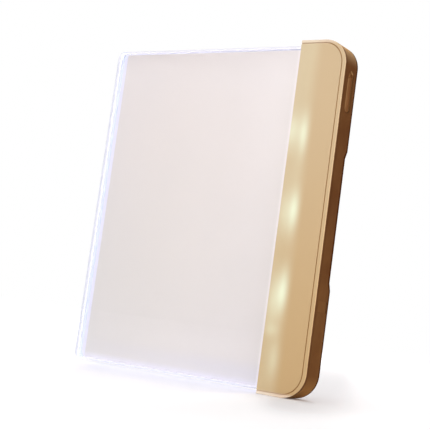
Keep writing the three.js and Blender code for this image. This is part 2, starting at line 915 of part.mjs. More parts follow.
// The knob and its lever ride together
const slider = new THREE.Group();
slider.position.set(0, pocketY, knobZ);
housing.add(slider);
place('switch_knob', geometryFrom(switchKnob()), bronzePlastic(), 0, 0, 0, slider);
place('switch_lever', geometryFrom(switchLever()), leverBlack(), 0, 0, 0, slider);
place('switch_body', geometryFrom(switchBody()), nickel(), 0, pocketY, slotZ);

// LED strip
place('led_board', geometryFrom(ledBoard()), boardWhite());
ledHeights().forEach((z, i) => {
  const chipZ = z - resistorOffset;
  place(`led_${i + 1}`, geometryFrom(ledPackage()), ledYellow(), boardFace, boardY, z);
  place(`resistor_${i + 1}`, geometryFrom(resistorChip()), chipBlack(), boardFace, boardY, chipZ);
});

// Cells and contacts
for (let i = 0; i < cellCount; i += 1) {
  const z = cellBase + i * (cellLength + clearance);
  place(`battery_${i + 1}`, geometryFrom(cellSolid()), cellSleeve(), cellX, cellY, z);
}
place('positive_contact', geometryFrom(contactPlate(1)), nickel(), cellX, cellY, bayTop - contactEdge);
place('negative_contact', geometryFrom(contactPlate(-1)), nickel(), cellX, cellY, bayBottom + contactEdge);
const helix = tube(new ConeHelix(), springWire, springSides, Math.round(springTurns * springFacets));
place('contact_spring', geometryFrom(solidFrom(helix)), nickel(), cellX, cellY, springBase);
console.log(`contact spring: least gap between turns ${leastSpringGap().toFixed(2)} mm`);

// Wires
place('cell_wire', cellWire(), redSleeve());
place('switched_wire', switchedWire(), redSleeve());
place('return_wire', returnWire(), blackSleeve());

// Screws
screwPlaces.forEach(({ x, z, seat }, i) => {
  const underHead = seat - counterboreDepth;
  place(`screw_${i + 1}`, geometryFrom(screwSolid()), steel(), x, underHead + clearance / 2, z);
});

export default lamp;
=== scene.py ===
"""An LED panel reading lamp: a clear light guide with an edge glow, held by a satin gold and bronze
battery housing. Lengths are in metres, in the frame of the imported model: +Z up, front facing -Y.
Pairs of numbers named for a material are the start and end of a ramp, in mm where nothing else is
said."""

import json
import math

import bmesh
import bpy
from mathutils import Matrix, Vector

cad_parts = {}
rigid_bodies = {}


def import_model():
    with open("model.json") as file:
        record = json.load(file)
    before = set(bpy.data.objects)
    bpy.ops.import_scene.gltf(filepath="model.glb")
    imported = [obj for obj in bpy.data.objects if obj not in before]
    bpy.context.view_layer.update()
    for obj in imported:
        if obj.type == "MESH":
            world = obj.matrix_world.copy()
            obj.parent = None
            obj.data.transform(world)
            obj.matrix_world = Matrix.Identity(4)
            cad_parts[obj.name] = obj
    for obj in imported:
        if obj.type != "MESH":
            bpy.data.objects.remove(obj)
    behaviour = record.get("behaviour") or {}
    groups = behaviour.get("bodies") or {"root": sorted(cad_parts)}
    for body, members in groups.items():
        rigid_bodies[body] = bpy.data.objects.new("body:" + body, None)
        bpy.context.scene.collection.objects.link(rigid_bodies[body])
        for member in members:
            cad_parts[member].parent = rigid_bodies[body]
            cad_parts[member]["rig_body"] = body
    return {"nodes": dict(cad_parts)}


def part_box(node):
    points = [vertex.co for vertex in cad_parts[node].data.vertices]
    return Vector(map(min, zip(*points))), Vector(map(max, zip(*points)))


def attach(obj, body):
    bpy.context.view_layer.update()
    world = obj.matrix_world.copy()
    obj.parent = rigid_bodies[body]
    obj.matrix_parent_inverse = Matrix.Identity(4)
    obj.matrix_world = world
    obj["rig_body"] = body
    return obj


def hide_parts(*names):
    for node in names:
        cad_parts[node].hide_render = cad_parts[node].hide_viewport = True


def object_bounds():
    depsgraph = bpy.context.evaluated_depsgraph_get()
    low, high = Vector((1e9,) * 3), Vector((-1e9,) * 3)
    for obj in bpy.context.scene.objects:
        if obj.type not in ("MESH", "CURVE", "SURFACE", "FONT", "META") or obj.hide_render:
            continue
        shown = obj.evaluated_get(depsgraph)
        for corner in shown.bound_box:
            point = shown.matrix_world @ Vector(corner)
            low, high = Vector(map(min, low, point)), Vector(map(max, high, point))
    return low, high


MM = 0.001
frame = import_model()
cad_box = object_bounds()

# Main places, read from the frame
LAMP_HIGH = cad_box[1]
COVER_LOW, COVER_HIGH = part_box("front_cover")
PANEL_LOW, PANEL_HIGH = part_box("light_panel")

# The photograph's camera: place in metres, angles in degrees, sensor and lens in mm
CAMERA_PLACE = (306.17 * MM, -450.96 * MM, 31.70 * MM)
CAMERA_AZIMUTH = 33.762
CAMERA_RISE = 5.664
CAMERA_ROLL = -7.817
SENSOR = 36.0
LENS = 88.507
CLIP = (0.01, 20.0)


def colour(red, green, blue):
    """A colour written as it shows on screen, 0 to 255, as the linear values that shaders use."""
    linear = []
    for shown in (red, green, blue):
        share = shown / 255
        linear.append(share / 12.92 if share <= 0.04045 else ((share + 0.055) / 1.055) ** 2.4)
    return (*linear, 1.0)


def scaled(tint, share):
    """A colour made lighter or darker by a share, its alpha kept."""
    return (*(share * part for part in tint[:3]), 1.0)


WHITE = (1.0, 1.0, 1.0, 1.0)
BLACK = (0.0, 0.0, 0.0, 1.0)


class Wire:
    """A socket of a material. Sums and products of wires add the Math nodes that work them out."""

    def __init__(self, tree, socket):
        self.tree = tree
        self.socket = socket

    def maths(self, operation, *values):
        return self.tree.add("ShaderNodeMath", {"operation": operation}, dict(enumerate(values)))

    def __add__(self, other):
        return self.maths("ADD", self, other)

    def __radd__(self, other):
        return self.maths("ADD", other, self)

    def __sub__(self, other):
        return self.maths("SUBTRACT", self, other)

    def __rsub__(self, other):
        return self.maths("SUBTRACT", other, self)

    def __mul__(self, other):
        return self.maths("MULTIPLY", self, other)

    def __rmul__(self, other):
        return self.maths("MULTIPLY", other, self)

    def __truediv__(self, other):
        return self.maths("DIVIDE", self, other)

    def __pow__(self, other):
        return self.maths("POWER", self, other)

    def __rpow__(self, other):
        return self.maths("POWER", other, self)

    def sine(self):
        return self.maths("SINE", self)


class Tree:
    """A material's or the world's node tree, built one node at a time."""

    def __init__(self, owner):
        owner.use_nodes = True
        self.nodes = owner.node_tree.nodes
        self.links = owner.node_tree.links
        self.nodes.clear()

    def add(self, kind, settings=None, inputs=None, output=0):
        """Adds a node, sets it, then gives its sockets their values or links."""
        node = self.nodes.new(kind)
        for name, value in (settings or {}).items():
            setattr(node, name, value)
        for key, value in (inputs or {}).items():
            if isinstance(value, Wire):
                self.links.new(value.socket, node.inputs[key])
            else:
                node.inputs[key].default_value = value
        return Wire(self, node.outputs[output]) if node.outputs else None

    def blend(self, share, first, second):
        """A colour between two, by a share."""
        factor, a, b, result = 0, 6, 7, 2
        settings = {"data_type": "RGBA"}
        return self.add("ShaderNodeMix", settings, {factor: share, a: first, b: second}, result)

    def place(self):
        """The surface point's own x, y and z, which stay with a piece as it moves."""
        point = self.add("ShaderNodeTexCoord", output="Object")
        return [self.add("ShaderNodeSeparateXYZ", inputs={0: point}, output=i) for i in range(3)]

    def least(self, first, second):
        return self.add("ShaderNodeMath", {"operation": "MINIMUM"}, {0: first, 1: second})

    def most(self, first, second):
        return self.add("ShaderNodeMath", {"operation": "MAXIMUM"}, {0: first, 1: second})

    def distance(self, x, y):
        """The length of a flat vector."""
        return (x * x + y * y) ** 0.5

    def inset(self, to_side, to_end, radius):
        """The distance inwards from an outline with round corners. It stops at the corners' radius."""
        spans = [self.most(radius - span, 0.0) for span in (to_side, to_end)]
        return radius - self.distance(*spans)

    def noise(self, size, detail=2.0, roughness=0.5, stretch=(1.0, 1.0, 1.0)):
        """Cloudy noise whose features are about size metres across."""
        point = self.add("ShaderNodeTexCoord", output="Object")
        stretched = self.add("ShaderNodeVectorMath", {"operation": "MULTIPLY"}, {0: point, 1: stretch})
        inputs = {"Vector": stretched, "Scale": 1 / size, "Detail": detail, "Roughness": roughness}
        return self.add("ShaderNodeTexNoise", inputs=inputs)

    def ramp(self, value, low, high):
        """A smooth step from 0 at low to 1 at high, also where high is the smaller."""
        settings = {"interpolation_type": "SMOOTHSTEP"}
        return self.add("ShaderNodeMapRange", settings, {0: value, 1: low, 2: high})

    def band(self, value, low, high, blur=0.1):
        """1 between two values, 0 outside them, with soft ends."""
        return self.ramp(value, low - blur, low + blur) * self.ramp(value, high + blur, high - blur)

    def bump(self, height, depth):
        """A normal that follows a height of 0 to 1 over the given depth."""
        inputs = {"Strength": 1.0, "Distance": depth, "Height": height}
        return self.add("ShaderNodeBump", inputs=inputs)

    def surface(self, shader):
        self.add("ShaderNodeOutputMaterial", inputs={"Surface": shader})


def new_material(name):
    material = bpy.data.materials.new(name)
    return material, Tree(material)


# Front cover
# Painted light: the cover is coloured lighter towards the top (GOLD_TOP over GOLD_BOTTOM), where more
# light falls.
GOLD_TOP = colour(213, 187, 149)
GOLD_BOTTOM = colour(201, 168, 120)
# Painted light: a paler band on the cover's top and bottom rims, strongest at the bottom, where the
# panel's glow falls on it.
GOLD_RIM_LIT = colour(240, 218, 196)
# The cover's side edge: a metallic dark bronze brown, darkened further as painted shade.
GOLD_EDGE_SHADE = colour(98, 54, 24)
GOLD_SHEEN = colour(255, 232, 205)
# Painted shade: the groove's floor is coloured a darker orange brown.
GROOVE_SHADE = colour(160, 108, 46)
GLOW = colour(198, 250, 240)
HOUSING_CORNER = 12.5
RIM_INNER = (0.9, 0.6)
LIT_RIM_REACH = (2.6, 0.6)
GROOVE_DEEP = (0.05, 0.2)
EDGE_DEEP = (0.1, 0.3)
FRONT_DEEP = (0.5, 0.1)

# Soft lights that shine through the cover: strength, place across from the right side and height,
# then reach across and reach in height, in mm. The last one dulls the place between two LEDs.
SPOTS = [
    (0.30, 17.2, 127.0, 2.7, 9.2),
    (0.24, 26.0, 129.0, 8.0, 8.0),
    (0.34, 16.9, 89.9, 3.1, 8.8),
    (0.20, 20.6, 89.3, 5.7, 10.0),
    (0.44, 17.6, 50.2, 3.6, 9.6),
    (0.19, 22.8, 45.5, 3.9, 12.0),
    (0.15, 18.1, 17.2, 4.1, 8.8),
    (0.12, 22.0, 31.2, 4.1, 3.0),
    (-0.035, 21.0, 70.0, 5.0, 7.0),
]
LIT_FROM = (12.4, 19.4)
FAINT_GLOW = 0.05
CLOUDY_GLOW = 0.09


def light_spots(tree, across, height):
    """The share of glow at a place on the cover."""
    total = FAINT_GLOW + CLOUDY_GLOW * tree.noise(11 * MM, 3.0, 0.6, (1.0, 1.0, 0.5))
    for strength, side, level, wide, tall in SPOTS:
        away = ((across - side) / wide) ** 2.0 + ((height - level) / tall) ** 2.0
        total = total + strength * math.e ** (0 - away)
    return total * tree.ramp(across, *LIT_FROM)


def satin_gold():
    """Satin gold lacquer over a plastic thin enough for the LEDs to shine through as soft spots."""
    material, tree = new_material("satin_gold")
    x, y, z = tree.place()
    across = (COVER_HIGH.x - x) / MM
    depth = (y - COVER_LOW.y) / MM
    height = z / MM
    top = LAMP_HIGH.z / MM
    to_end = tree.least(height, top - height)
    rise = tree.ramp(height, 0.0, top)
    outer = tree.ramp(tree.inset(across, to_end, HOUSING_CORNER), *RIM_INNER)
    groove_shade = tree.ramp(depth, *GROOVE_DEEP) * (1.0 - outer)
    edge = tree.ramp(depth, *EDGE_DEEP) * outer
    # Painted light on the top and bottom rims, a quarter weaker at the top.
    lit_rim = tree.ramp(to_end, *LIT_RIM_REACH) * (1.0 - 0.25 * rise)
    cloud = tree.noise(9 * MM, 3.0)
    grain = tree.noise(0.25 * MM, 2.0)
    # Painted light: lighter towards the top.
    body = tree.blend(rise, GOLD_BOTTOM, GOLD_TOP)
    body = tree.blend((cloud - 0.5) * 0.10 + 0.04, body, GOLD_TOP)
    # Painted shade in the groove.
    body = tree.blend(groove_shade * 0.8, body, GROOVE_SHADE)
    body = tree.blend(lit_rim, body, GOLD_RIM_LIT)
    # Painted shade on the cover's side edge, which also turns metallic.
    body = tree.blend(edge, body, GOLD_EDGE_SHADE)
    glow = light_spots(tree, across, height) * tree.ramp(depth, *FRONT_DEEP)
    tree.surface(tree.add("ShaderNodeBsdfPrincipled", inputs={
        "Base Color": body,
        "Metallic": 0.15 + 0.75 * edge,
        "Roughness": 0.36 + 0.1 * cloud,
        "Specular Tint": GOLD_SHEEN,
        "Coat Weight": 0.15 * (1.0 - edge),
        "Coat Roughness": 0.25,
        "Emission Color": tree.blend(glow, BLACK, GLOW),
        "Emission Strength": 1.0,
        "Normal": tree.bump(grain, 0.006 * MM),
    }))
    return material


# Rear shell, battery door and switch knob. RELIEF is the shallow field low in the side wall.
# Depths run inwards from the right side or the back, widths along y, the rest is height.
BRONZE_DARK = colour(104, 72, 47)
BRONZE_LIGHT = colour(116, 83, 55)
BRONZE_SHEEN = colour(160, 118, 80)
# Painted sheen: lighter colours that stand in for light caught by the housing's ends, foot, relief and
# switch pocket.
PAINTED_SHEEN = colour(168, 128, 84)
TOP_PAINTED_SHEEN = colour(196, 170, 136)
# Painted shade along the back arris.
ARRIS_SHADE = colour(70, 32, 6)
SHEEN_END = (13.0, 1.5)
PALE_FOOT = (75.0, 30.0)
RELIEF_DEEP = (0.1, 0.4)
RELIEF_HIGH = (42.1, 48.0)
POCKET_DEEP = (0.35, 2.0)
POCKET_WIDE = (-2.7, 3.7)
POCKET_HIGH = (139.0, 161.5)
SCOOP_DEPTH = 2.05
SCOOP_HIGH = (54.7, 120.3)
SCOOP_RUNOUT = 2.3
ARRIS_SIDE = (0.9, 0.4)
ARRIS_BACK = (2.2, 0.9)


def bronze(name, shade=1.0):
    """Dark bronze lacquer on a finely textured moulded plastic, with painted sheen that lightens its
    ends, foot, relief and switch pocket, and a painted shadow line along its back arris.
    """
    material, tree = new_material(name)
    x, y, z = tree.place()
    height = z / MM
    inward = (LAMP_HIGH.x - x) / MM
    to_end = tree.least(z, LAMP_HIGH.z - z) / MM
    cloud = tree.noise(14 * MM, 3.0)
    texture = tree.noise(0.35 * MM, 3.0, 0.6)
    dark, light = scaled(BRONZE_DARK, shade), scaled(BRONZE_LIGHT, shade)
    sheen_tint = tree.blend(tree.ramp(z, 0.0, LAMP_HIGH.z), PAINTED_SHEEN, TOP_PAINTED_SHEEN)
    relief = tree.band(inward, *RELIEF_DEEP) * tree.band(height, *RELIEF_HIGH)
    pocket = tree.band(inward, *POCKET_DEEP) * tree.band(y / MM, *POCKET_WIDE)
    pocket = pocket * tree.band(height, *POCKET_HIGH)
    scooped = SCOOP_DEPTH * tree.band(height, *SCOOP_HIGH, blur=SCOOP_RUNOUT)
    arris_shade = tree.ramp(tree.inset(inward, to_end, HOUSING_CORNER), *ARRIS_SIDE)
    arris_shade = arris_shade * tree.ramp((LAMP_HIGH.y - y) / MM - scooped, *ARRIS_BACK)
    body = tree.blend(tree.ramp(cloud, 0.3, 0.75), dark, light)
    # Painted light: the rounded ends are lighter, palest at the top.
    body = tree.blend(tree.ramp(to_end, *SHEEN_END), body, sheen_tint)
    # Painted light: lighter towards the foot, where light from the floor falls.
    body = tree.blend(tree.ramp(height, *PALE_FOOT) * 0.1, body, PAINTED_SHEEN)
    # Painted light: the switch pocket's inside is lightened with the painted sheen, and the shallow
    # relief a little.
    body = tree.blend(relief * 0.12 + pocket * 0.8, body, PAINTED_SHEEN)
    # Painted shade: a dark line along the back arris.
    body = tree.blend(arris_shade, body, ARRIS_SHADE)
    tree.surface(tree.add("ShaderNodeBsdfPrincipled", inputs={
        "Base Color": body,
        "Metallic": 0.8 - 0.8 * arris_shade,
        "Roughness": 0.42 + 0.12 * texture + 0.4 * arris_shade,
        "Specular IOR Level": 0.0,
        "Specular Tint": BRONZE_SHEEN,
        "Normal": tree.bump(texture, 0.02 * MM),
    }))
    return material


# Light guide: the tints of its frosted chamfers and the glow of its polished sides
ACRYLIC_TINT = colour(240, 239, 251)
FRONT_RIM = colour(238, 240, 250)
LEFT_RIM = colour(226, 230, 243)
BACK_RIM = colour(234, 235, 248)
LEFT_BACK_RIM = colour(200, 212, 234)
EDGE_GLOW = colour(150, 158, 172)
PANEL_CORNER = 4.0
SIDE_SKIN = (0.06, 0.02)
CHAMFER = (0.9, 0.6)
LEFT_STRIP = (1.9, 1.5)
LEFT_TOP = (4.0, 8.0)
BEHIND = (0.6, 1.2)
REAR_SIDE = (5.4, 6.6)


def clear_acrylic():
    """Polished acrylic that lets shadow rays through, with lilac chamfers and glowing side faces."""
    material, tree = new_material("clear_acrylic")
    x, y, z = tree.place()
    to_left = (x - PANEL_LOW.x) / MM
    to_top = (PANEL_HIGH.z - z) / MM
    to_bottom = (z - PANEL_LOW.z) / MM
    depth = (y - PANEL_LOW.y) / MM
    nearest = tree.inset(to_left, tree.least(to_top, to_bottom), PANEL_CORNER)
    side = tree.ramp(nearest, *SIDE_SKIN)
    left = tree.ramp(to_left, *LEFT_STRIP)
    behind = tree.ramp(depth, *BEHIND)
    rear_side = side * tree.ramp(depth, *REAR_SIDE)
    rim = tree.most(tree.most(tree.ramp(nearest, *CHAMFER), left) * (1.0 - side), rear_side)
    rim_tint = tree.blend(left * tree.ramp(to_top, *LEFT_TOP), FRONT_RIM, LEFT_RIM)
    rim_tint = tree.blend(behind, rim_tint, tree.blend(left, BACK_RIM, LEFT_BACK_RIM))
    shadow_ray, diffuse_ray = [
        tree.add("ShaderNodeLightPath", output=ray) for ray in ("Is Shadow Ray", "Is Diffuse Ray")
    ]
    scuff = tree.noise(6 * MM, 4.0)
    glass = tree.add("ShaderNodeBsdfPrincipled", inputs={
        "Base Color": ACRYLIC_TINT,
        "Roughness": 0.015 + 0.02 * scuff,
        "IOR": 1.49,
        "Transmission Weight": 1.0,
        "Emission Color": tree.blend(side * (1.0 - diffuse_ray), BLACK, EDGE_GLOW),
        "Emission Strength": 1.0,
    })
    frosted = tree.add("ShaderNodeBsdfPrincipled", inputs={
        "Base Color": rim_tint,
        "Roughness": 0.4,
        "Specular IOR Level": 0.1,
        "Emission Color": tree.blend(behind, BLACK, BACK_RIM),
        "Emission Strength": 0.25,
    })
    body = tree.add("ShaderNodeMixShader", inputs={0: rim * 0.75, 1: glass, 2: frosted})
    see_through = tree.add("ShaderNodeBsdfTransparent", inputs={"Color": (0.97, 0.975, 0.99, 1)})
    tree.surface(tree.add("ShaderNodeMixShader", inputs={0: shadow_ray, 1: body, 2: see_through}))
    return material


# Dot print on the light guide's back. SEAM runs from the cover's left edge.
DOT_PITCH = 1.1
PRINT_LOW = colour(231, 227, 217)
PRINT_HIGH = colour(236, 229, 220)
PRINT_NEAR = colour(253, 247, 239)
PRINT_CLOUD = colour(228, 226, 220)
NEAR_GLOW = colour(108, 106, 102)
SEAM_GLOW = colour(150, 146, 150)
LILAC = colour(244, 243, 253)
FOOT_TINT = colour(228, 229, 238)
LEFT_LILAC = (3.0, 2.0)
FOOT_LILAC = (5.0, 1.5)
FOOT_PALE = (15.0, 6.0)
SEAM = (7.5, 6.2)


def dot_print():
    """The milky field of fine dots on the light guide's back, brighter towards the LEDs."""
    material, tree = new_material("dot_print")
    x, y, z = tree.place()
    waves = [(span / (DOT_PITCH * MM) * (2 * math.pi)).sine() for span in (x, z)]
    dots = tree.ramp(waves[0] * waves[1], 0.1, 0.5)
    cloud = tree.noise(24 * MM, 2.0)
    rise = tree.ramp(z, PANEL_LOW.z, PANEL_HIGH.z)
    reach = tree.ramp(x, PANEL_LOW.x, PANEL_HIGH.x)
    to_foot = (z - PANEL_LOW.z) / MM
    # Painted light: the print is lighter towards the top and the LEDs, and bluish and lilac towards the
    # foot and the left edge, where the lit guide's edges glow.
    left = tree.ramp((x - PANEL_LOW.x) / MM, *LEFT_LILAC)
    lilac = tree.most(left, tree.ramp(to_foot, *FOOT_LILAC) * 0.5)
    tint = tree.blend(rise, PRINT_LOW, PRINT_HIGH)
    tint = tree.blend(reach * 0.6, tint, PRINT_NEAR)
    tint = tree.blend((cloud - 0.5) * 0.25 + 0.1, tint, PRINT_CLOUD)
    tint = tree.blend(tree.ramp(to_foot, *FOOT_PALE) * (0.12 + 0.3 * reach), tint, FOOT_TINT)
    tint = tree.blend(lilac, tint, LILAC)
    glow = tree.blend(tree.ramp(x, 0.0, PANEL_HIGH.x) * (0.4 + 0.6 * rise), BLACK, NEAR_GLOW)
    seam = tree.ramp((COVER_LOW.x - x) / MM, *SEAM) * 0.5
    milky = tree.add("ShaderNodeBsdfPrincipled", inputs={
        "Base Color": tint,
        "Roughness": 0.6,
        "Specular IOR Level": 0.1,
        "Emission Color": tree.blend(seam, glow, SEAM_GLOW),
        "Emission Strength": 1.0,
    })
    see_through = tree.add("ShaderNodeBsdfTransparent")
    shadow_ray = tree.add("ShaderNodeLightPath", output="Is Shadow Ray")
    cover = (0.91 + 0.025 * dots) * (1.0 - 0.95 * shadow_ray)
    tree.surface(tree.add("ShaderNodeMixShader", inputs={0: cover, 1: see_through, 2: milky}))
    return material


# Inner pieces
def bright_metal(name, tint, roughness):
    """Rolled or turned metal with a fine directional grain."""
    material, tree = new_material(name)
    grain = tree.noise(0.5 * MM, 3.0, 0.6, (1.0, 1.0, 6.0))
    tree.surface(tree.add("ShaderNodeBsdfPrincipled", inputs={
        "Base Color": tree.blend(grain * 0.3, tint, WHITE),
        "Metallic": 1.0,
        "Roughness": roughness + 0.12 * grain,
        "Normal": tree.bump(grain, 0.004 * MM),
    }))
    return material


def painted(name, tint, roughness, mottle=0.08):
    """A coated or moulded surface with a slightly uneven tone."""
    material, tree = new_material(name)
    cloud = tree.noise(1.6 * MM, 3.0)
    tree.surface(tree.add("ShaderNodeBsdfPrincipled", inputs={
        "Base Color": tree.blend(cloud * mottle * 4, tint, scaled(tint, 0.75)),
        "Roughness": roughness + 0.1 * cloud,
        "Normal": tree.bump(cloud, 0.004 * MM),
    }))
    return material


PACKAGE = colour(240, 240, 234)
PHOSPHOR = (colour(240, 222, 120), colour(250, 240, 170))
PHOSPHOR_GLOW = colour(255, 244, 196)
WINDOW_DEEP = (0.12, 0.2)


def phosphor():
    """A white chip package whose sunk window is filled with glowing yellow phosphor."""
    material, tree = new_material("led_phosphor")
    x, y, z = tree.place()
    low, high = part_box("led_1")
    window = tree.ramp((x - low.x) / MM, *WINDOW_DEEP)
    cloud = tree.noise(0.3 * MM, 2.0)
    tree.surface(tree.add("ShaderNodeBsdfPrincipled", inputs={
        "Base Color": tree.blend(window, PACKAGE, tree.blend(cloud * 0.4, *PHOSPHOR)),
        "Roughness": 0.45,
        "Emission Color": tree.blend(window, BLACK, PHOSPHOR_GLOW),
        "Emission Strength": 0.8,
    }))
    return material


SLATE = colour(52, 62, 70)
COPPER = colour(178, 116, 66)
CELL_STEEL = colour(196, 195, 190)
SHOULDER_BELOW_TOP = (12.0, 11.8)
CAP_BELOW_TOP = (1.75, 1.65)
CELL_FOOT = (0.5, 0.4)


def cell_sleeve(cell):
    """A plain printed sleeve, slate with a copper-coloured shoulder, over bright steel ends."""
    low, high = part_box(cell)
    material, tree = new_material(f"{cell}_sleeve")
    x, y, z = tree.place()
    up = (z - low.z) / MM
    length = (high.z - low.z) / MM
    shoulder, cap = [
        tree.ramp(up, length - start, length - end) for start, end in (SHOULDER_BELOW_TOP, CAP_BELOW_TOP)
    ]
    steel = tree.most(cap, tree.ramp(up, *CELL_FOOT))
    cloud = tree.noise(4 * MM, 2.0)
    sleeve = tree.blend(cloud * 0.12, tree.blend(shoulder, SLATE, COPPER), WHITE)
    tree.surface(tree.add("ShaderNodeBsdfPrincipled", inputs={
        "Base Color": tree.blend(steel, sleeve, CELL_STEEL),
        "Metallic": 0.35 + 0.65 * steel,
        "Roughness": 0.32 + 0.08 * cloud,
    }))
    return material


# Pieces
MERGE_REACH = 0.002 * MM
FLAT_WITHIN = math.radians(0.6)


def finished_copy(node, name, softening, material, crease=30):
    """A copy of a CAD node with merged flats, softened edges and smooth shading on its curves."""
    mesh = frame["nodes"][node].data.copy()
    mesh.materials.clear()
    work = bmesh.new()
    work.from_mesh(mesh)
    bmesh.ops.remove_doubles(work, verts=work.verts, dist=MERGE_REACH)
    bmesh.ops.dissolve_limit(work, angle_limit=FLAT_WITHIN, verts=work.verts, edges=work.edges)
    if softening:
        sharp = [edge for edge in work.edges if edge.calc_face_angle(0.0) > math.radians(crease)]
        bmesh.ops.bevel(
            work,
            geom=sharp,
            offset=softening,
            segments=2,
            profile=0.5,
            affect="EDGES",
            clamp_overlap=True,
        )
    bmesh.ops.recalc_face_normals(work, faces=work.faces)
    for face in work.faces:
        face.smooth = True
    work.to_mesh(mesh)
    work.free()
    mesh.set_sharp_from_angle(angle=math.radians(crease))
    piece = bpy.data.objects.new(name, mesh)
    bpy.context.scene.collection.objects.link(piece)
    mesh.materials.append(material)
    shading = piece.modifiers.new("flat_faces_first", "WEIGHTED_NORMAL")
    shading.keep_sharp = True
    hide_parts(node)
    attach(piece, frame["nodes"][node]["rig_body"])
    return piece


CORNER_STEPS = 10


def rounded_plate(name, low, high, radii, material, body):
    """A thin upright plate between two corners, its four corners rounded: lower left first, clockwise."""
    corners = [
        (low.x, low.z, 1, 1, 180),
        (low.x, high.z, 1, -1, 90),
        (high.x, high.z, -1, -1, 0),
        (high.x, low.z, -1, 1, 270),
    ]
    outline = []
    for (x, z, right, up, start), radius in zip(corners, radii):
        centre = (x + right * radius, z + up * radius)
        for step in range(CORNER_STEPS + 1) if radius else range(1):
            angle = math.radians(start + 90 - 90 * step / CORNER_STEPS)
            outline.append((centre[0] + radius * math.cos(angle), centre[1] + radius * math.sin(angle)))
    mesh = bpy.data.meshes.new(name)
    work = bmesh.new()
    face = work.faces.new([work.verts.new((x, low.y, z)) for x, z in outline])
    grown = bmesh.ops.extrude_face_region(work, geom=[face])
    moved = [part for part in grown["geom"] if isinstance(part, bmesh.types.BMVert)]
    bmesh.ops.translate(work, verts=moved, vec=(0, high.y - low.y, 0))
    bmesh.ops.recalc_face_normals(work, faces=work.faces)
    work.to_mesh(mesh)
    work.free()
    piece = bpy.data.objects.new(name, mesh)
    bpy.context.scene.collection.objects.link(piece)
    mesh.materials.append(material)
    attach(piece, body)
    return piece


def dress(nodes, material):
    """Gives CAD nodes that keep their shape a finer material."""
    for node in nodes:
        mesh = frame["nodes"][node].data
        mesh.materials.clear()
        mesh.materials.append(material)


# The dot field's distances from the panel's left, top and bottom edge, its depth, the skin of
# acrylic behind it, its left corners' radius and the width of clear panel beside the cover, in mm
DOT_LEFT = 0.4
DOT_TOP = 0.4
DOT_BOTTOM = 1.1
DOT_DEPTH = 0.04
DOT_SKIN = 0.05
DOT_CORNER = 3.4
TONGUE_STEP = 1.0


def build_panel():
    finished_copy("light_panel", "clear_panel", 0, clear_acrylic(), crease=50)
    back = PANEL_HIGH.y - DOT_SKIN * MM
    low = Vector((PANEL_LOW.x + DOT_LEFT * MM, back - DOT_DEPTH * MM, PANEL_LOW.z + DOT_BOTTOM * MM))
    high = Vector((COVER_LOW.x - TONGUE_STEP * MM, back, PANEL_HIGH.z - DOT_TOP * MM))
    radii = (DOT_CORNER * MM, DOT_CORNER * MM, 0, 0)
    rounded_plate("dot_field", low, high, radii, dot_print(), "lamp")


# How much each bronze piece is lighter than the shell, the knob's lightness being painted light, and how
# far its edges are softened
DOOR_SHADE = 1.03
KNOB_PAINTED_LIGHT = 1.38
DOOR_SOFTENING = 0.08 * MM
KNOB_SOFTENING = 0.05 * MM


def build_housing():
    finished_copy("front_cover", "satin_cover", 0, satin_gold())
    finished_copy("rear_shell", "bronze_case", 0, bronze("bronze"))
    door, knob = bronze("bronze_of_door", DOOR_SHADE), bronze("lit_bronze_of_knob", KNOB_PAINTED_LIGHT)
    finished_copy("battery_door", "bronze_door", DOOR_SOFTENING, door)
    finished_copy("switch_knob", "crowned_knob", KNOB_SOFTENING, knob)


def numbered(name, count):
    return [f"{name}_{number}" for number in range(1, count + 1)]


def dress_inner_pieces():
    dress(["switch_lever"], painted("lever_black", colour(36, 34, 35), 0.45))
    nickel = bright_metal("nickel", colour(196, 192, 184), 0.25)
    dress(["switch_body", "positive_contact", "negative_contact", "contact_spring"], nickel)
    dress(numbered("screw", 4), bright_metal("screw_steel", colour(150, 148, 146), 0.3))
    dress(["led_board"], painted("board_white", colour(232, 234, 228), 0.4, 0.03))
    dress(numbered("led", 3), phosphor())
    dress(numbered("resistor", 3), painted("chip_black", colour(30, 30, 32), 0.5))
    for cell in numbered("battery", 3):
        dress([cell], cell_sleeve(cell))
    dress(["cell_wire", "switched_wire"], painted("red_sleeve", colour(172, 34, 28), 0.4))
    dress(["return_wire"], painted("black_sleeve", colour(28, 28, 30), 0.4))


# Stage. The floor's places and spans are in metres.
FLOOR_REACH = 4.0
FLOOR_PALE = colour(246, 243, 243)

# A painted pool of lilac light from the panel's glow on the floor below it: its tint, its ends along y
# and x, and the slant of its left end
FLOOR_GLOW_POOL = colour(240, 240, 249)
BELOW_FRONT = (-0.12, -0.01)
BELOW_BACK = (0.03, 0.01)
BELOW_LEFT = (-0.077, -0.055)
BELOW_RIGHT = (0.07, 0.04)
BELOW_SLANT = 0.67

# The soft shade behind the housing's foot: where it starts, which way it runs, its soft side, its
# far end, and how much faster it ends on its left and in front
FOOT = (0.07, -0.01)
SHADE_WAY = (-0.425, 0.905)
SHADE_EDGE = (0.013, 0.036)
SHADE_END = (0.6, 1.2)
LEFT_SHARE = 2.0
FRONT_SHARE = 0.3

# The floor's own light: in the shade, more outside it, the share lost in the painted glow pool, and
# what it gains away from the lamp and loses again far off
LIFT_SHADE = 0.03
LIFT_NEAR = 0.17
LIFT_LOST = 0.75
LIFT_FAR = 0.45
FAR_SHARE = 0.4
LIFT_REACH = (0.18, 0.8)
LIFT_SPARED = 0.13
SPARED_REACH = (0.9, 2.4)


